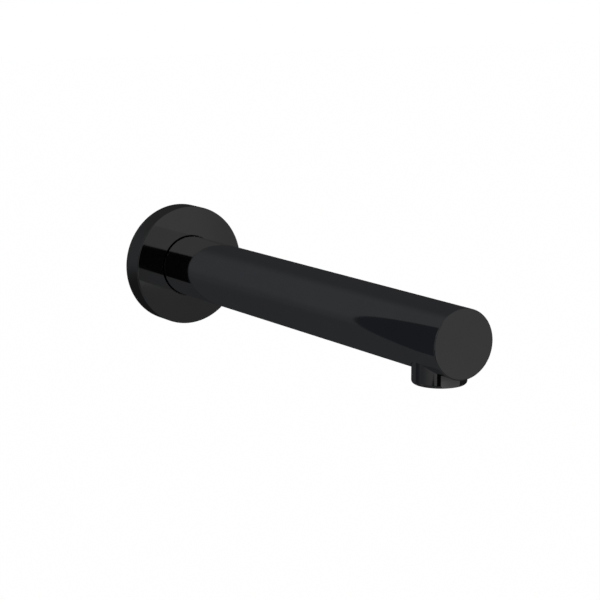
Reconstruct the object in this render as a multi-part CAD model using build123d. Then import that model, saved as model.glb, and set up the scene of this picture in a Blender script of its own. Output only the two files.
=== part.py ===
from build123d import *
import os
from math import sqrt

# A plain round wall spout: a straight barrel through a round wall flange, with an aerator under its end.
# Millimetres. The wall is the plane y = 0, the spout leaves it along -Y, and +Z is up.

# Barrel
barrel_diameter = 25.0
spout_length = 200.0  # from the wall to the end face
wall_gap = 1.0  # between the wall and the barrel's back end
barrel_wall = 4.5  # round the waterway
end_edge = 0.3

# Inlet at the barrel's back
inlet_wall = 2.0  # of the barrel outside its inlet thread
inlet_depth = 18.0
inlet_washer_thickness = 2.0
nipple_reach = 14.0  # of the nipple behind the wall
nipple_hex = 12.0  # across the flats of its socket
nipple_edge = 1.0
nipple_waist = 4.0  # length of the plain neck between its two threads
nipple_waist_depth = 0.9

# Wall flange
flange_diameter = 50.0
flange_depth = 10.0
flange_edge = 0.4
flange_face = 4.0  # thickness of the front
flange_rim = 2.6  # thickness of the rim
flange_clearance = 0.45  # round the barrel
grip_ring_width = 2.0
grip_ring_thickness = 1.8
groove_room = 0.2  # along the groove, beside the ring

# Outlet under the barrel's end
outlet_setback = 13.7  # from the end face to the outlet's axis
outlet_drop = 3.5  # of the aerator below the barrel
outlet_side_wall = 2.75  # of the barrel beside the aerator
outlet_roof = 2.5  # of the barrel over the chamber
outlet_web = 3.0  # between the waterway's end and the aerator's socket
outlet_washer_thickness = 1.5
seat_width = 2.5
chamber_edge = 2.5
passage_sill = 1.2  # between the washer's seat and the passage
passage_drop = 0.5  # of the passage's top below the chamber's
passage_overlap = 6.0  # of the passage with the waterway

# Aerator housing
housing_skirt = 9.5  # height below the thread
housing_edge = 0.9
thread_step = 0.75  # from the skirt in to the thread
thread_length = 5.5
thread_wall = 1.0
lip_height = 1.6
lip_width = 0.8
flat_depth = 0.65  # of each of the two spanner flats
flat_height = 6.0
flat_turn = -12.0  # of the flats about the outlet, where the thread stops

# Aerator cartridge, from the mouth upwards
insert_floor = 2.0
sleeve_wall = 0.5
air_gap = 1.4  # between the sleeve and the floor's edge
cell_pitch = 1.75
cell_wall = 0.3
air_slot_count = 12
air_slot_width = 0.5
air_slot_length = 1.8
window_count = 6
window_width = 2.4
window_height = 2.0
jet_plate_thickness = 1.2
jet_count = 12
jet_width = 0.7
jet_length = 2.4
jet_inset = 3.3  # from the plate's edge to the middle of the jets
limiter_thickness = 2.4
limiter_floor = 0.8
limiter_rim = 2.2
limiter_channel = 3.2  # between the core and the rim
limiter_slot_count = 6
limiter_slot_width = 0.9
limiter_slot_length = 1.3
limiter_ring_section = 1.4
strainer_rim = 1.4  # height of the rim
strainer_floor = 0.6
strainer_slit_count = 10
strainer_slit_width = 0.5
strainer_slit_length = 3.2
strainer_slit_inset = 2.3  # from the rim to the middle of the slits

# Clearances
thread_clearance = 0.02
washer_clearance = 0.15
ring_clearance = 0.03
skirt_clearance = 0.15  # round the aerator's skirt
shoulder_clearance = 0.3  # over the aerator's shoulder
cartridge_clearance = 0.1

# Places along the spout, as distances from the wall, and radii about its axis
barrel_radius = barrel_diameter / 2
waterway_radius = barrel_radius - barrel_wall
inlet_radius = barrel_radius - inlet_wall
inlet_seat = wall_gap + inlet_depth
nipple_radius = inlet_radius - thread_clearance
nipple_end = inlet_seat - inlet_washer_thickness
outlet_reach = spout_length - outlet_setback

flange_radius = flange_diameter / 2
flange_bore_radius = barrel_radius + flange_clearance
flange_back = flange_depth - flange_face
rim_inner_radius = flange_radius - flange_rim
groove_radius = barrel_radius + grip_ring_thickness + 2 * ring_clearance
groove_middle = flange_depth - flange_face / 2
groove_half_width = (grip_ring_width + groove_room) / 2

# Levels of the outlet over the spout's axis, and radii about the outlet's axis
housing_radius = barrel_radius - outlet_side_wall
thread_radius = housing_radius - thread_step
cartridge_bore_radius = thread_radius - thread_wall
cartridge_radius = cartridge_bore_radius - cartridge_clearance
mouth_radius = cartridge_bore_radius - lip_width
skirt_hole_radius = housing_radius + skirt_clearance
chamber_radius = thread_radius - seat_width

housing_bottom = -barrel_radius - outlet_drop
housing_shoulder = housing_bottom + housing_skirt
housing_top = housing_shoulder + thread_length
outlet_seat = housing_top + outlet_washer_thickness
chamber_top = barrel_radius - outlet_roof
passage_top = chamber_top - passage_drop
passage_bottom = outlet_seat + passage_sill
passage_radius = (passage_top - passage_bottom) / 2
passage_level = (passage_top + passage_bottom) / 2
waterway_end = outlet_reach - skirt_hole_radius - outlet_web

lip_top = housing_bottom + lip_height
limiter_top = housing_top - strainer_rim
jet_plate_top = limiter_top - limiter_thickness
insert_top = jet_plate_top - jet_plate_thickness
sleeve_radius = cartridge_radius - air_gap
insert_bore_radius = sleeve_radius - sleeve_wall
channel_radius = cartridge_radius - limiter_rim
core_radius = channel_radius - limiter_channel

spout_line = Plane(origin=(0, 0, 0), x_dir=(1, 0, 0), z_dir=(0, -1, 0))
spout_axis = Axis((0, 0, 0), (0, -1, 0))
outlet_line = Plane(origin=(0, -outlet_reach, 0), x_dir=(1, 0, 0), z_dir=(0, 0, 1))
outlet_axis = Axis((0, -outlet_reach, 0), (0, 0, 1))
on_base = (Align.CENTER, Align.CENTER, Align.MIN)
hung = (Align.CENTER, Align.CENTER, Align.MAX)
same_place = 0.001


def rod(line, radius, start, end):
    """A cylinder on a line, from one place along it to another."""
    return line.offset(start) * Cylinder(radius, end - start, align=on_base)


def ring(line, inner_radius, outer_radius, start, end):
    """A flat ring on a line, from one place along it to another."""
    return rod(line, outer_radius, start, end) - rod(line, inner_radius, start, end)


def rims(solid, axis, place):
    """The round edges of a solid at one place along an axis."""
    circles = solid.edges().filter_by(GeomType.CIRCLE)
    return circles.filter_by_position(axis, place - same_place, place + same_place)


def waterway():
    """The hollow from the inlet thread to the chamber, higher at its end to clear the outlet's seat."""
    inlet = rod(spout_line, inlet_radius, wall_gap, inlet_seat)
    bore = rod(spout_line, waterway_radius, inlet_seat, waterway_end)
    passage_start = waterway_end - passage_overlap
    passage = Pos(0, 0, passage_level) * rod(spout_line, passage_radius, passage_start, outlet_reach)
    return inlet + bore + passage


def outlet_socket():
    """The hollow that the aerator screws up into, with the washer's seat and the chamber above it."""
    skirt_hole = rod(outlet_line, skirt_hole_radius, housing_bottom, housing_shoulder + shoulder_clearance)
    thread_hole = rod(outlet_line, thread_radius + thread_clearance, housing_shoulder, outlet_seat)
    chamber = rod(outlet_line, chamber_radius, outlet_seat, chamber_top)
    chamber = chamfer(rims(chamber, outlet_axis, chamber_top), chamber_edge)
    return skirt_hole + thread_hole + chamber


def spout_body():
    barrel = rod(spout_line, barrel_radius, wall_gap, spout_length)
    barrel = chamfer(rims(barrel, spout_axis, spout_length), end_edge)
    return barrel - waterway() - outlet_socket()


def wall_flange():
    """A cup over the hole in the wall, with a groove in its front for the ring that grips the barrel."""
    cup = rod(spout_line, flange_radius, 0, flange_depth)
    cup = chamfer(rims(cup, spout_axis, flange_depth), flange_edge)
    hollow = rod(spout_line, rim_inner_radius, 0, flange_back)
    bore = rod(spout_line, flange_bore_radius, flange_back, flange_depth)
    groove_start = groove_middle - groove_half_width
    groove_end = groove_middle + groove_half_width
    groove = rod(spout_line, groove_radius, groove_start, groove_end)
    return cup - hollow - bore - groove


def grip_ring():
    inner_radius = barrel_radius + ring_clearance
    outer_radius = groove_radius - ring_clearance
    start = groove_middle - grip_ring_width / 2
    return ring(spout_line, inner_radius, outer_radius, start, start + grip_ring_width)


def inlet_nipple():
    """A tube with a thread for the barrel and one for the wall, and a hexagon socket right through."""
    nipple = rod(spout_line, nipple_radius, -nipple_reach, nipple_end)
    nipple = chamfer(rims(nipple, spout_axis, -nipple_reach), nipple_edge)
    waist_start = wall_gap - nipple_waist / 2
    waist_end = wall_gap + nipple_waist / 2
    nipple -= ring(spout_line, nipple_radius - nipple_waist_depth, nipple_radius, waist_start, waist_end)
    hexagon = RegularPolygon(nipple_hex / 2, 6, major_radius=False)
    socket = extrude(hexagon, nipple_end + nipple_reach)
    return nipple - spout_line.offset(-nipple_reach) * socket


def inlet_washer():
    outer_radius = inlet_radius - washer_clearance
    return ring(spout_line, waterway_radius, outer_radius, nipple_end, inlet_seat)


def aerator_housing():
    """A threaded collar with an inner lip for the cartridge and two spanner flats."""
    skirt = rod(outlet_line, housing_radius, housing_bottom, housing_shoulder)
    skirt = chamfer(rims(skirt, outlet_axis, housing_bottom), housing_edge)
    thread = rod(outlet_line, thread_radius, housing_shoulder, housing_top)
    mouth = rod(outlet_line, mouth_radius, housing_bottom, lip_top)
    bore = rod(outlet_line, cartridge_bore_radius, lip_top, housing_top)
    housing = skirt + thread - mouth - bore
    flat = Box(2 * housing_radius, 2 * flat_depth, flat_height, align=on_base)
    flat_line = outlet_line.offset(housing_bottom) * Rot(0, 0, flat_turn)
    for side in (-1, 1):
        housing -= flat_line * Pos(0, side * housing_radius, 0) * flat
    return housing


def outlet_washer():
    outer_radius = thread_radius - washer_clearance
    return ring(outlet_line, chamber_radius, outer_radius, housing_top, outlet_seat)


def honeycomb():
    """The hexagon cells that fit inside the sleeve, centred on the outlet's axis."""
    cell_radius = (cell_pitch - cell_wall) / sqrt(3)
    row_pitch = cell_pitch * sqrt(3) / 2
    reach = insert_bore_radius - cell_radius
    rows = int(reach / row_pitch)
    columns = int(reach / cell_pitch) + 1
    cell = RegularPolygon(cell_radius, 6, rotation=30)
    cells = Sketch()
    for row in range(-rows, rows + 1):
        shift = cell_pitch / 2 if row % 2 else 0.0
        along = row * row_pitch
        for column in range(-columns, columns + 1):
            across = column * cell_pitch + shift
            if sqrt(across**2 + along**2) <= reach:
                cells += Pos(across, along) * cell
    return cells


def aerator_insert():
    """A moulded sleeve with a honeycomb floor, air slots round it and air windows at its top."""
    floor_top = lip_top + insert_floor
    floor = rod(outlet_line, cartridge_radius, lip_top, floor_top)
    sleeve = ring(outlet_line, insert_bore_radius, sleeve_radius, floor_top, insert_top)
    slot_radius = (sleeve_radius + mouth_radius) / 2
    slots = PolarLocations(slot_radius, air_slot_count) * Rectangle(air_slot_width, air_slot_length)
    openings = extrude(honeycomb() + slots, insert_floor)
    window = Box(2 * sleeve_wall, window_width, window_height, align=hung)
    windows = PolarLocations(sleeve_radius - sleeve_wall / 2, window_count) * window
    insert = floor + sleeve - outlet_line.offset(lip_top) * openings
    return insert - [outlet_line.offset(insert_top) * opening for opening in windows]


def jet_plate():
    plate = rod(outlet_line, cartridge_radius, insert_top, jet_plate_top)
    jets = PolarLocations(cartridge_radius - jet_inset, jet_count) * Rectangle(jet_length, jet_width)
    return plate - outlet_line.offset(insert_top) * extrude(Sketch() + jets, jet_plate_thickness)


def flow_limiter():
    """A slotted dish: its core and floor carry the ring that throttles the flow."""
    dish = rod(outlet_line, cartridge_radius, jet_plate_top, limiter_top)
    dish -= ring(outlet_line, core_radius, channel_radius, jet_plate_top + limiter_floor, limiter_top)
    slot = Rectangle(limiter_slot_length, limiter_slot_width)
    slots = PolarLocations((core_radius + channel_radius) / 2, limiter_slot_count) * slot
    return dish - outlet_line.offset(jet_plate_top) * extrude(Sketch() + slots, limiter_floor)


def limiter_ring():
    inner_radius = core_radius + ring_clearance
    outer_radius = inner_radius + limiter_ring_section
    bottom = jet_plate_top + limiter_floor
    return ring(outlet_line, inner_radius, outer_radius, bottom, bottom + limiter_ring_section)


def strainer():
    """A slit plate with a standing rim, which the washer holds down."""
    plate = rod(outlet_line, cartridge_radius, limiter_top, housing_top)
    plate -= rod(outlet_line, chamber_radius, limiter_top + strainer_floor, housing_top)
    slit = Rectangle(strainer_slit_length, strainer_slit_width)
    slits = PolarLocations(chamber_radius - strainer_slit_inset, strainer_slit_count) * slit
    return plate - outlet_line.offset(limiter_top) * extrude(Sketch() + slits, strainer_floor)


parts = {
    "spout_body": spout_body,
    "wall_flange": wall_flange,
    "grip_ring": grip_ring,
    "inlet_nipple": inlet_nipple,
    "inlet_washer": inlet_washer,
    "aerator_housing": aerator_housing,
    "outlet_washer": outlet_washer,
    "aerator_insert": aerator_insert,
    "jet_plate": jet_plate,
    "flow_limiter": flow_limiter,
    "limiter_ring": limiter_ring,
    "strainer": strainer,
}

os.makedirs("parts", exist_ok=True)
for name, make in parts.items():
    export_step(make(), f"parts/{name}.step")
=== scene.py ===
from math import cos, pi, radians, sin, tan

import bmesh
import bpy
from mathutils import Matrix, Vector


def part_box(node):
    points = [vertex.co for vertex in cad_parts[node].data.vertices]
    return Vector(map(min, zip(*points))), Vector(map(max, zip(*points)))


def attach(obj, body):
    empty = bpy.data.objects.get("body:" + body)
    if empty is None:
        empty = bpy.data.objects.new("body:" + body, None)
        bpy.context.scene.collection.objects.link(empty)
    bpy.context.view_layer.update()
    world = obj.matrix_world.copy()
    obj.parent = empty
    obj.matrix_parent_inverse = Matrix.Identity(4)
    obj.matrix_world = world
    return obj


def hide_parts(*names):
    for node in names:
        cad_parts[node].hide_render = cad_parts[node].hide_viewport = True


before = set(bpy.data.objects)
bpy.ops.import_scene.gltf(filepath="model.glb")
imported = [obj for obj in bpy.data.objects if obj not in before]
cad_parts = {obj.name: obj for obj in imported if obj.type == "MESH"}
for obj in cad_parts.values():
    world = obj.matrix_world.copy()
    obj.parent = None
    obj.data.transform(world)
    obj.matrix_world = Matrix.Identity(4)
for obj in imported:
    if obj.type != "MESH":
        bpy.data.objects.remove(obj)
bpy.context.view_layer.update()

# Metres in the file, millimetres in the sizes of the spout
mm = 0.001


def reach(node, axis):
    """The lowest and highest place of a CAD node along one axis of the frame, in millimetres."""
    low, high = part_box(node)
    return low[axis] / mm, high[axis] / mm


# Sizes taken from the solids. Places along the spout are distances from the wall.
barrel_radius = reach("spout_body", 0)[1]
barrel_back, barrel_end = -reach("spout_body", 1)[1], -reach("spout_body", 1)[0]
flange_radius = reach("wall_flange", 0)[1]
flange_depth = -reach("wall_flange", 1)[0]
groove_radius = reach("grip_ring", 0)[1]
groove_start, groove_end = -reach("grip_ring", 1)[1], -reach("grip_ring", 1)[0]
nipple_radius = reach("inlet_nipple", 0)[1]
nipple_start, nipple_end = -reach("inlet_nipple", 1)[1], -reach("inlet_nipple", 1)[0]
inlet_seat = -reach("inlet_washer", 1)[0]
housing_radius = reach("aerator_housing", 0)[1]
housing_bottom, housing_top = reach("aerator_housing", 2)
outlet_reach = -sum(reach("aerator_housing", 1)) / 2
outlet_seat = reach("outlet_washer", 2)[1]
washer_radius = reach("outlet_washer", 0)[1]
cartridge_radius = reach("aerator_insert", 0)[1]
cartridge_bottom = reach("aerator_insert", 2)[0]

# Clearances
thread_clearance = 0.02
washer_clearance = 0.15
flange_clearance = 0.45
skirt_clearance = 0.15
shoulder_clearance = 0.3
cartridge_clearance = 0.1
groove_room = 0.1  # beside the ring, at each side

# Sizes inside the solids
barrel_wall = 4.5
flange_face = 4.0
flange_rim = 2.6
outlet_roof = 2.5
outlet_web = 3.0
seat_width = 2.5
chamber_edge = 2.5
passage_sill = 1.2
passage_drop = 0.5
passage_overlap = 6.0
housing_skirt = 9.5
lip_width = 0.8
flat_depth = 0.65
flat_height = 6.0
flat_turn = -12.0
nipple_hex = 12.0
nipple_waist = 4.0
nipple_waist_depth = 0.9
nipple_edge = 1.0

# Radii and places that follow from them
inlet_radius = nipple_radius + thread_clearance
waterway_radius = barrel_radius - barrel_wall
flange_bore_radius = barrel_radius + flange_clearance
flange_back = flange_depth - flange_face
cup_radius = flange_radius - flange_rim
skirt_hole_radius = housing_radius + skirt_clearance
housing_shoulder = housing_bottom + housing_skirt
skirt_hole_top = housing_shoulder + shoulder_clearance
thread_radius = washer_radius + washer_clearance
thread_hole_radius = thread_radius + thread_clearance
cartridge_bore_radius = cartridge_radius + cartridge_clearance
mouth_radius = cartridge_bore_radius - lip_width
chamber_radius = thread_radius - seat_width
chamber_top = barrel_radius - outlet_roof
passage_top = chamber_top - passage_drop
passage_bottom = outlet_seat + passage_sill
passage_radius = (passage_top - passage_bottom) / 2
passage_level = (passage_top + passage_bottom) / 2
waterway_end = outlet_reach - skirt_hole_radius - outlet_web

# Roundings and threads, which the solids have as small chamfers and plain cylinders
barrel_rounding = 0.5
flange_rounding = 0.5
cup_rounding = 0.8
housing_rounding = 1.2
mouth_rounding = 0.3
inner_rounding = 0.2
bore_rounding = 0.05
sharp_angle = 30.0  # degrees, above which an edge stays sharp in shading
inlet_thread_pitch = 1.814
inlet_thread_depth = 1.16
aerator_thread_pitch = 1.0
aerator_thread_depth = 0.5
aerator_thread_root = 0.1

# How far a cutting shape goes past what it cuts, and the size of the slivers that a cut may leave
overrun = 1.0
sliver = 0.001

# The spout's line runs out of the wall along -Y, and the outlet's line runs up through the aerator
spout_line = Matrix(((1, 0, 0, 0), (0, 0, -1, 0), (0, 1, 0, 0), (0, 0, 0, 1)))
passage_line = Matrix.Translation((0, 0, passage_level * mm)) @ spout_line
outlet_line = Matrix.Translation((0, -outlet_reach * mm, 0))


def rounded(corners, steps=7):
    """The points of an outline of (radius, place, rounding) corners, with an arc for each rounding."""
    points = []
    for index, (radius, place, rounding) in enumerate(corners):
        here = Vector((radius, place))
        if not rounding:
            points.append(here)
            continue
        before = (Vector(corners[index - 1][:2]) - here).normalized()
        after = (Vector(corners[(index + 1) % len(corners)][:2]) - here).normalized()
        half = before.angle(after) / 2
        centre = here + (before + after).normalized() * rounding / sin(half)
        start = here + before * rounding / tan(half) - centre
        end = here + after * rounding / tan(half) - centre
        turn = start.angle_signed(end)
        for step in range(steps + 1):
            spoke = start.copy()
            spoke.rotate(Matrix.Rotation(-turn * step / steps, 2))
            points.append(centre + spoke)
    return points


def solid(name, shape, line):
    """An object from a closed bmesh in millimetres, set on a line."""
    bmesh.ops.recalc_face_normals(shape, faces=shape.faces)
    mesh = bpy.data.meshes.new(name)
    shape.to_mesh(mesh)
    shape.free()
    mesh.transform(line @ Matrix.Scale(mm, 4))
    piece = bpy.data.objects.new(name, mesh)
    bpy.context.scene.collection.objects.link(piece)
    return piece


def turned(name, corners, line, sides=192):
    """A turned piece: an outline of (radius, place, rounding) corners spun about a line."""
    shape = bmesh.new()
    turns = [2 * pi * side / sides for side in range(sides)]
    rings = []
    for radius, place in rounded(corners):
        if radius:
            spots = [(radius * cos(turn), radius * sin(turn), place) for turn in turns]
            rings.append([shape.verts.new(spot) for spot in spots])
        else:
            rings.append([shape.verts.new((0, 0, place))] * sides)
    for first, second in zip(rings, rings[1:] + rings[:1]):
        for side in range(sides):
            after = (side + 1) % sides
            face = list(dict.fromkeys((first[side], first[after], second[after], second[side])))
            if len(face) > 2:
                shape.faces.new(face)
    return solid(name, shape, line)


def block(name, size, middle, line):
    """A cutting block of a size about a middle, both in millimetres on a line."""
    shape = bmesh.new()
    place = Matrix.Translation(middle) @ Matrix.Diagonal((*size, 1))
    bmesh.ops.create_cube(shape, size=1, matrix=place)
    return solid(name, shape, line)


def cut(piece, *cutters):
    """Takes the cutters out of a piece and removes them, with the slivers that the cuts leave."""
    for cutter in cutters:
        hollow = piece.modifiers.new(cutter.name, "BOOLEAN")
        hollow.object = cutter
        hollow.solver = "EXACT"
    shown = piece.evaluated_get(bpy.context.evaluated_depsgraph_get())
    mesh = bpy.data.meshes.new_from_object(shown)
    shape = bmesh.new()
    shape.from_mesh(mesh)
    bmesh.ops.remove_doubles(shape, verts=shape.verts, dist=sliver * mm)
    bmesh.ops.dissolve_degenerate(shape, edges=shape.edges, dist=sliver * mm)
    shape.to_mesh(mesh)
    shape.free()
    piece.modifiers.clear()
    piece.data = mesh
    for cutter in cutters:
        bpy.data.objects.remove(cutter)


def dress(piece, node, material):
    """Makes a piece stand for a CAD node, with a finish and clean shading up to its sharp edges."""
    piece.data.shade_smooth()
    piece.data.set_sharp_from_angle(angle=radians(sharp_angle))
    even = piece.modifiers.new("even shading", "WEIGHTED_NORMAL")
    even.keep_sharp = True
    piece.data.materials.clear()
    piece.data.materials.append(material)
    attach(piece, "root")
    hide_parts(node)


class Field:
    """A socket in a node tree. Arithmetic on it adds Math nodes, and node() adds any other node."""

    def __init__(self, tree, socket=None):
        self.tree, self.socket = tree, socket

    def node(self, kind, settings, sockets, output=0):
        """Adds a node of a kind, sets it up, fills or links its sockets and gives one of its outputs."""
        made = self.tree.nodes.new(kind)
        for name, value in settings.items():
            setattr(made, name, value)
        for name, value in sockets.items():
            if isinstance(value, Field):
                self.tree.links.new(value.socket, made.inputs[name])
            else:
                made.inputs[name].default_value = value
        return Field(self.tree, made.outputs[output] if made.outputs else None)

    def math(self, operation, first, second):
        return self.node("ShaderNodeMath", {"operation": operation}, {0: first, 1: second})

    def __add__(self, other):
        return self.math("ADD", self, other)

    def __rsub__(self, other):
        return self.math("SUBTRACT", other, self)

    def __mul__(self, other):
        return self.math("MULTIPLY", self, other)

    __radd__ = __add__
    __rmul__ = __mul__

    def at_most(self, other):
        return self.math("MINIMUM", self, other)

    def between(self, low, high):
        """0 below low, 1 above high, smooth between them."""
        sockets = {"Value": self, "From Min": low, "From Max": high}
        return self.node("ShaderNodeMapRange", {"interpolation_type": "SMOOTHSTEP"}, sockets)

    def blend(self, first, second):
        """A colour that goes from the first to the second as this value goes from 0 to 1."""
        return self.node("ShaderNodeMix", {"data_type": "RGBA"}, {0: self, 6: first, 7: second}, 2)


def graph_of(owner):
    """The emptied node tree of a material or a world."""
    owner.use_nodes = True
    owner.node_tree.nodes.clear()
    return Field(owner.node_tree)


def finish(name, surface):
    """A material whose shader is what surface(graph) gives."""
    material = bpy.data.materials.new(name)
    graph = graph_of(material)
    graph.node("ShaderNodeOutputMaterial", {}, {"Surface": surface(graph)})
    return material


def grey(value):
    return (value, value, value, 1)


def places_on(graph):
    """Where a point lies, in metres in the frame."""
    return graph.node("ShaderNodeTexCoord", {}, {}, "Object")


def along(graph, axis):
    """Where a point lies along one axis."""
    return graph.node("ShaderNodeSeparateXYZ", {}, {"Vector": places_on(graph)}, axis)


def noise(graph, places, size, detail=2.0):
    """Noise about half, with lumps of a size in millimetres."""
    sockets = {"Vector": places, "Scale": 1 / (size * mm), "Detail": detail, "Roughness": 0.5}
    return graph.node("ShaderNodeTexNoise", {"noise_dimensions": "3D"}, sockets)


def bump(graph, height, distance):
    """A normal that a height bends, with the height's full reach in millimetres."""
    return graph.node("ShaderNodeBump", {}, {"Height": height, "Distance": distance * mm})


def in_cup(graph):
    """1 inside the flange's cup and 0 elsewhere."""
    fade_start, fade_end = 0.1, 0.2
    places, off_axis = places_on(graph), (1, 0, 1)
    across = graph.node("ShaderNodeVectorMath", {"operation": "MULTIPLY"}, {0: places, 1: off_axis})
    radius = graph.node("ShaderNodeVectorMath", {"operation": "LENGTH"}, {0: across}, "Value")
    beside = radius.between((cup_radius + fade_start) * mm, (cup_radius + fade_end) * mm)
    behind = along(graph, "Y").between(-(flange_back + fade_end) * mm, -(flange_back + fade_start) * mm)
    return behind * (1 - beside)


def coat_shader(graph):
    """A black coat that mirrors evenly at every angle, with slow changes of tone, faint mist and ripples.

    Seen by way of another reflection it mirrors more, so that the spout shows in its own gloss as
    brightly as the studio does. Inside the flange's cup it is unpolished, and doesn't do so.
    """
    least_share, added_share, reflected_share = 0.0375, 0.003, 0.85
    places = places_on(graph)
    cloud = noise(graph, places, 40)
    mist = noise(graph, places, 6, detail=4)
    skin = noise(graph, places, 2.5, detail=1)
    share = least_share + (cloud * 0.6 + mist * 0.4).between(0.2, 0.8) * added_share
    unpolished = in_cup(graph)
    # Painted reflection: where a glossy ray meets the coat it mirrors 85% instead of its own 4%, so the
    # spout's images of itself are painted as bright as the studio
    reflected = graph.node("ShaderNodeLightPath", {}, {}, "Is Glossy Ray") * (1 - unpolished)
    mirrored = share + reflected * (reflected_share - share)
    black = graph.node("ShaderNodeBsdfDiffuse", {}, {"Color": grey(0.0)})
    mirror = graph.node("ShaderNodeBsdfPrincipled", {}, {
        "Metallic": 1.0,
        "Base Color": grey(0.985),
        "Roughness": 0.045 + mist * 0.03 + unpolished * 0.3,
        "Normal": bump(graph, skin, 0.0015),
    })
    return graph.node("ShaderNodeMixShader", {}, {0: mirrored, 1: black, 2: mirror})


def rubber_shader(graph):
    """Matt black rubber with a fine uneven skin."""
    lumps = noise(graph, places_on(graph), 1.2, detail=4)
    return graph.node("ShaderNodeBsdfPrincipled", {}, {
        "Base Color": lumps.blend(grey(0.018), grey(0.034)),
        "Roughness": 0.62 + lumps * 0.25,
        "Normal": bump(graph, lumps, 0.03),
    })


def brass_shader(graph):
    """Turned brass: fine rings from the tool, and a slightly dulled tone."""
    places = places_on(graph)
    stretched = graph.node("ShaderNodeMapping", {}, {"Vector": places, "Scale": (0.05, 1.0, 0.05)})
    rings = noise(graph, stretched, 0.12, detail=1)
    dulling = noise(graph, places, 5, detail=4)
    clean, dulled = (0.72, 0.52, 0.22, 1), (0.56, 0.38, 0.15, 1)
    return graph.node("ShaderNodeBsdfPrincipled", {}, {
        "Metallic": 1.0,
        "Base Color": dulling.between(0.3, 0.75).blend(clean, dulled),
        "Roughness": 0.2 + rings * 0.08 + dulling * 0.1,
        "Normal": bump(graph, rings, 0.006),
    })


def plastic_shader(graph):
    """Pale moulded plastic with a fine grain and slow changes of tone."""
    places = places_on(graph)
    grain = noise(graph, places, 0.35)
    cloud = noise(graph, places, 4)
    return graph.node("ShaderNodeBsdfPrincipled", {}, {
        "Base Color": cloud.blend((0.66, 0.67, 0.68, 1), (0.75, 0.76, 0.77, 1)),
        "Roughness": 0.42 + grain * 0.18,
        "Normal": bump(graph, grain, 0.006),
    })


black_coat = finish("black coat", coat_shader)
seal_rubber = finish("seal rubber", rubber_shader)
plain_brass = finish("plain brass", brass_shader)
pale_plastic = finish("pale plastic", plastic_shader)


def barrel():
    """The closed barrel, its waterway and the socket for the aerator."""
    piece = turned("barrel", (
        (0, barrel_end, 0),
        (barrel_radius, barrel_end, barrel_rounding),
        (barrel_radius, barrel_back, inner_rounding),
        (0, barrel_back, 0),
    ), spout_line, 256)
    waterway = turned("waterway", (
        (0, barrel_back - overrun, 0),
        (inlet_radius, barrel_back - overrun, 0),
        (inlet_radius, inlet_seat, 0),
        (waterway_radius, inlet_seat, 0),
        (waterway_radius, waterway_end, 0),
        (0, waterway_end, 0),
    ), spout_line, 96)
    passage = turned("passage", (
        (0, waterway_end - passage_overlap, 0),
        (passage_radius, waterway_end - passage_overlap, 0),
        (passage_radius, outlet_reach, 0),
        (0, outlet_reach, 0),
    ), passage_line, 64)
    socket = turned("socket", (
        (0, housing_bottom, 0),
        (skirt_hole_radius, housing_bottom, 0),
        (skirt_hole_radius, skirt_hole_top, 0),
        (thread_hole_radius, skirt_hole_top, 0),
        (thread_hole_radius, outlet_seat, 0),
        (chamber_radius, outlet_seat, 0),
        (chamber_radius, chamber_top - chamber_edge, 0),
        (chamber_radius - chamber_edge, chamber_top, 0),
        (0, chamber_top, 0),
    ), outlet_line)
    cut(piece, waterway, passage, socket)
    return piece


def flange():
    """The cup against the wall, with its groove for the ring."""
    return turned("flange", (
        (flange_radius, flange_depth, flange_rounding),
        (flange_radius, 0, inner_rounding),
        (cup_radius, 0, inner_rounding),
        (cup_radius, flange_back, cup_rounding),
        (flange_bore_radius, flange_back, inner_rounding),
        (flange_bore_radius, groove_start - groove_room, 0),
        (groove_radius, groove_start - groove_room, 0),
        (groove_radius, groove_end + groove_room, 0),
        (flange_bore_radius, groove_end + groove_room, 0),
        (flange_bore_radius, flange_depth, bore_rounding),
    ), spout_line, 256)


def collar():
    """The aerator's threaded collar, with its rounded foot and two spanner flats."""
    root_radius = thread_radius - aerator_thread_depth
    rows = []
    for step in range(round((housing_top - housing_shoulder) / aerator_thread_pitch)):
        foot = housing_shoulder + step * aerator_thread_pitch
        rows.append((root_radius, foot + aerator_thread_root, 0))
        rows.append((thread_radius, foot + aerator_thread_pitch / 2, 0))
    piece = turned("aerator_collar", (
        (mouth_radius, housing_bottom, mouth_rounding),
        (housing_radius, housing_bottom, housing_rounding),
        (housing_radius, housing_shoulder, inner_rounding),
        *rows,
        (root_radius, housing_top, 0),
        (cartridge_bore_radius, housing_top, 0),
        (cartridge_bore_radius, cartridge_bottom, 0),
        (mouth_radius, cartridge_bottom, 0),
    ), outlet_line)
    collar_line = outlet_line @ Matrix.Rotation(radians(flat_turn), 4, "Z")
    flat_size = (2 * housing_radius, 2 * flat_depth, flat_height + 2 * overrun)
    flat_level = housing_bottom + flat_height / 2 - overrun
    flats = []
    for side in (-1, 1):
        middle = (0, side * housing_radius, flat_level)
        flats.append(block("flat", flat_size, middle, collar_line))
    cut(piece, *flats)
    return piece


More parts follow.
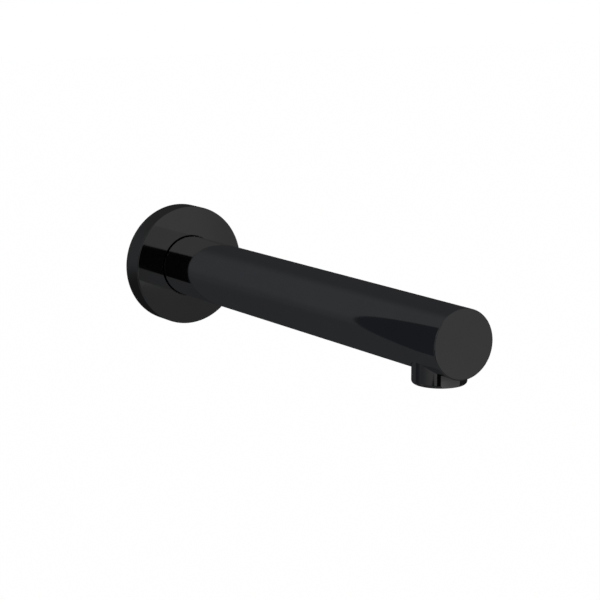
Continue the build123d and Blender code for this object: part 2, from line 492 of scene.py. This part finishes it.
def nipple():
    """The brass nipple: two pipe threads, a plain waist between them and a hexagon socket through it."""
    columns, rows = 120, 10
    same_place = 0.0001
    length = nipple_end - nipple_start
    shape = bmesh.new()
    grid = []
    for row in range(-rows, round(length / inlet_thread_pitch + 1) * rows):
        ring = []
        for column in range(columns):
            turn = column / columns
            place = min(max((row / rows + turn) * inlet_thread_pitch, 0), length)
            depth = inlet_thread_depth * (1 - cos(2 * pi * (place / inlet_thread_pitch - turn))) / 2
            if abs(nipple_start + place - barrel_back) < nipple_waist / 2:
                depth = nipple_waist_depth
            radius = nipple_radius - max(depth, nipple_edge - place)
            spoke = 2 * pi * turn
            ring.append(shape.verts.new((radius * cos(spoke), radius * sin(spoke), nipple_start + place)))
        grid.append(ring)
    for row in range(len(grid) - 1):
        for column in range(columns):
            # The last column meets the first one a whole turn of the thread further on
            beside, shift = (column + 1, 0) if column + 1 < columns else (0, rows)
            if row + shift + 1 < len(grid):
                shape.faces.new((grid[row][column], grid[row + shift][beside],
                                 grid[row + shift + 1][beside], grid[row + 1][column]))
    bmesh.ops.remove_doubles(shape, verts=shape.verts, dist=same_place)
    bmesh.ops.holes_fill(shape, edges=[edge for edge in shape.edges if edge.is_boundary], sides=0)
    piece = solid("threaded_nipple", shape, spout_line)
    corner_radius = nipple_hex / 2 / cos(pi / 6)
    cut(piece, turned("hexagon", (
        (0, nipple_start - overrun, 0),
        (corner_radius, nipple_start - overrun, 0),
        (corner_radius, nipple_end + overrun, 0),
        (0, nipple_end + overrun, 0),
    ), spout_line, 6))
    return piece


for piece, node in ((barrel(), "spout_body"), (flange(), "wall_flange"), (collar(), "aerator_housing")):
    dress(piece, node, black_coat)
dress(nipple(), "inlet_nipple", plain_brass)

inner_finishes = {
    "grip_ring": seal_rubber,
    "inlet_washer": seal_rubber,
    "outlet_washer": seal_rubber,
    "limiter_ring": seal_rubber,
    "aerator_insert": pale_plastic,
    "jet_plate": pale_plastic,
    "flow_limiter": pale_plastic,
    "strainer": pale_plastic,
}
for node, material in inner_finishes.items():
    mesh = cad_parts[node].data
    mesh.materials.clear()
    mesh.materials.append(material)


# The studio, in metres
floor_height, floor_reach = -0.3, 6.0
table_height, table_left, table_back = -0.09, -0.104, 0.49
front_left, front_back = -0.081, -0.1
side_front = -0.02


def panel(name, corners, material, faces=None):
    """A flat part of the studio."""
    mesh = bpy.data.meshes.new(name)
    mesh.from_pydata(corners, [], faces or [range(len(corners))])
    mesh.materials.append(material)
    made = bpy.data.objects.new(name, mesh)
    bpy.context.scene.collection.objects.link(made)
    return made


def card(name, corners, shade, faces=None):
    """A studio card that shows only in the object's gloss."""
    def glow(graph):
        return graph.node("ShaderNodeEmission", {}, {"Color": shade(graph), "Strength": 1.0})

    made = panel(name, corners, finish(name, glow), faces)
    made.visible_camera = made.visible_diffuse = made.visible_transmission = made.visible_shadow = False


def upright(axis, at, span, heights):
    """The corners of an upright card across an axis, with its span along the other level axis."""
    (low, high), (bottom, top) = span, heights
    corners = ((low, bottom), (high, bottom), (high, top), (low, top))
    return [(at, place, height) if axis == "X" else (place, at, height) for place, height in corners]


def level(height, width, depth):
    """The corners of a level card, with its width along X and its depth along Y."""
    (left, right), (front, back) = width, depth
    return [(left, front, height), (right, front, height), (right, back, height), (left, back, height)]


def seen_directly(graph):
    """1 for what the camera sees, also in gloss or glass, and 0 for light on its way to the spout."""
    rays = ("Is Camera Ray", "Is Glossy Ray", "Is Transmission Ray")
    straight, gloss, through = (graph.node("ShaderNodeLightPath", {}, {}, ray) for ray in rays)
    return (straight + gloss + through).at_most(1.0)


def floor_shader(graph):
    """White as it is seen, with enough of a lit surface in it to keep part of the object's shadow."""
    white = graph.node("ShaderNodeEmission", {}, {"Color": grey(1.0), "Strength": 1.0})
    lit = graph.node("ShaderNodeBsdfDiffuse", {}, {"Color": grey(0.95)})
    return graph.node("ShaderNodeMixShader", {}, {0: seen_directly(graph) * 0.8, 1: lit, 2: white})


def cool(value):
    """The slightly blue grey of the studio behind the spout and to its left."""
    return (value * 0.96, value, value * 1.08, 1)


def plain(colour):
    return lambda graph: colour


def fading(axis, start, end, first, second):
    """A colour that goes from one to another along an axis."""
    return lambda graph: along(graph, axis).between(start, end).blend(first, second)


def backdrop_shade(graph):
    """Lighter to the left, and falling off towards the table."""
    wide = fading("X", -0.15, 0.12, cool(0.76), cool(0.53))(graph)
    return along(graph, "Z").between(table_height, 0.08).blend(cool(0.63), wide)


def table_shade(graph):
    """A plain grey in front, bluer under the spout and lighter towards the backdrop."""
    behind = fading("Y", 0.12, table_back, cool(0.53), cool(0.63))(graph)
    return along(graph, "Y").between(-0.3, -0.1).blend(grey(0.54), behind)


def rim_shade(graph):
    """Dark below, and dimmer again at the top."""
    lower = fading("Z", -0.011, 0.004, grey(0.19), cool(0.55))(graph)
    return along(graph, "Z").between(0.014, 0.028).blend(lower, grey(0.42))


def outlet_shade(graph):
    """The bright light that the collar's front flat mirrors, strongest below and to the left."""
    left = fading("Z", -0.0915, -0.0825, grey(2.0), grey(0.55))(graph)
    right = fading("Z", -0.0915, -0.0825, grey(1.45), grey(0.6))(graph)
    return along(graph, "X").between(0.0635, 0.0735).blend(left, right)


low_shade = fading("Y", -0.45, -0.44, grey(0.03), cool(0.45))
left_shade = fading("Y", -0.13, -0.09, grey(0.4), (0.235, 0.25, 0.3, 1))
side_shade = fading("Y", -0.65, 0.2, grey(0.86), cool(0.46))
flange_shade = fading("Y", -0.545, -0.49, grey(1.0), grey(0.82))


def rim_card():
    """A ring just behind the flange, which only the flange's rim mirrors."""
    inner_radius, outer_radius, behind, sides = 0.0262, 0.033, 0.004, 64
    corners, faces = [], []
    for side in range(sides):
        turn = 2 * pi * side / sides
        for radius in (inner_radius, outer_radius):
            corners.append((radius * cos(turn), behind, radius * sin(turn)))
        after = (side + 1) % sides
        faces.append((2 * side, 2 * side + 1, 2 * after + 1, 2 * after))
    card("rim_card", corners, rim_shade, faces)


floor_span = (-floor_reach, floor_reach)
panel("floor", level(floor_height, floor_span, floor_span), finish("white floor", floor_shader))
card("backdrop_card", upright("Y", 0.5, (-1.2, 1.2), (-0.29, 1.2)), backdrop_shade)
card("table_card", level(table_height, (table_left, 1.2), (front_back, table_back)), table_shade)
card("table_front_card", level(table_height, (front_left, 1.2), (-0.42, front_back)), table_shade)
card("table_side_card", level(table_height, (-0.6, table_left), (side_front, table_back)), table_shade)
card("low_card", level(-0.25, (-0.88, table_left), (-0.7, side_front)), low_shade)
card("left_card", upright("X", -0.1, (-0.13, -0.031), (-0.2, 0.2)), left_shade)
card("side_card", upright("X", -0.9, (-0.85, table_back), (-0.29, 0.3)), side_shade)
card("camera_card", upright("Y", -0.7, (-0.53, -0.262), (-0.284, 0.7)), plain(grey(0.03)))
card("right_card", upright("X", 0.06, (-0.257, -0.175), (-0.06, -0.018)), plain(grey(0.22)))
card("flange_card", upright("X", 0.3, (-0.548, -0.3), (-0.28, 0.2)), flange_shade)
card("outlet_card", upright("Y", -0.5, (0.03, 0.14), (-0.14, -0.06)), outlet_shade)
rim_card()

# A white surround that lights the spout a little less than it shows
world = bpy.data.worlds.new("studio")
bpy.context.scene.world = world
sky = graph_of(world)
strength = 0.6 + seen_directly(sky) * 0.4
around = sky.node("ShaderNodeBackground", {}, {"Color": grey(1.0), "Strength": strength})
sky.node("ShaderNodeOutputWorld", {}, {"Surface": around})

# A soft lamp from above, the left and the front, which gloss doesn't show
lamp_data = bpy.data.lights.new("soft lamp", "SUN")
lamp_data.angle = radians(50)
lamp_data.energy = 1.6
lamp = bpy.data.objects.new("soft_lamp", lamp_data)
lamp.rotation_euler = Vector((0.35, 0.5, -1)).to_track_quat("-Z", "Y").to_euler()
lamp.visible_glossy = False
bpy.context.scene.collection.objects.link(lamp)

# The camera, at the photograph's viewing angle
camera_data = bpy.data.cameras.new("camera")
camera_data.sensor_width = 36.0
camera_data.lens = 111.22
camera_data.clip_start, camera_data.clip_end = 0.01, 50.0
camera = bpy.data.objects.new("camera", camera_data)
aim = Vector((0, -0.09674, -0.00111))
azimuth, elevation, distance = radians(-32.596), radians(10.782), 0.71386
towards = Vector((sin(azimuth) * cos(elevation), -cos(azimuth) * cos(elevation), sin(elevation)))
camera.location = aim + towards * distance
camera.rotation_euler = towards.to_track_quat("Z", "Y").to_euler()
bpy.context.scene.collection.objects.link(camera)
bpy.context.scene.camera = camera
bpy.context.scene.view_settings.view_transform = "Standard"
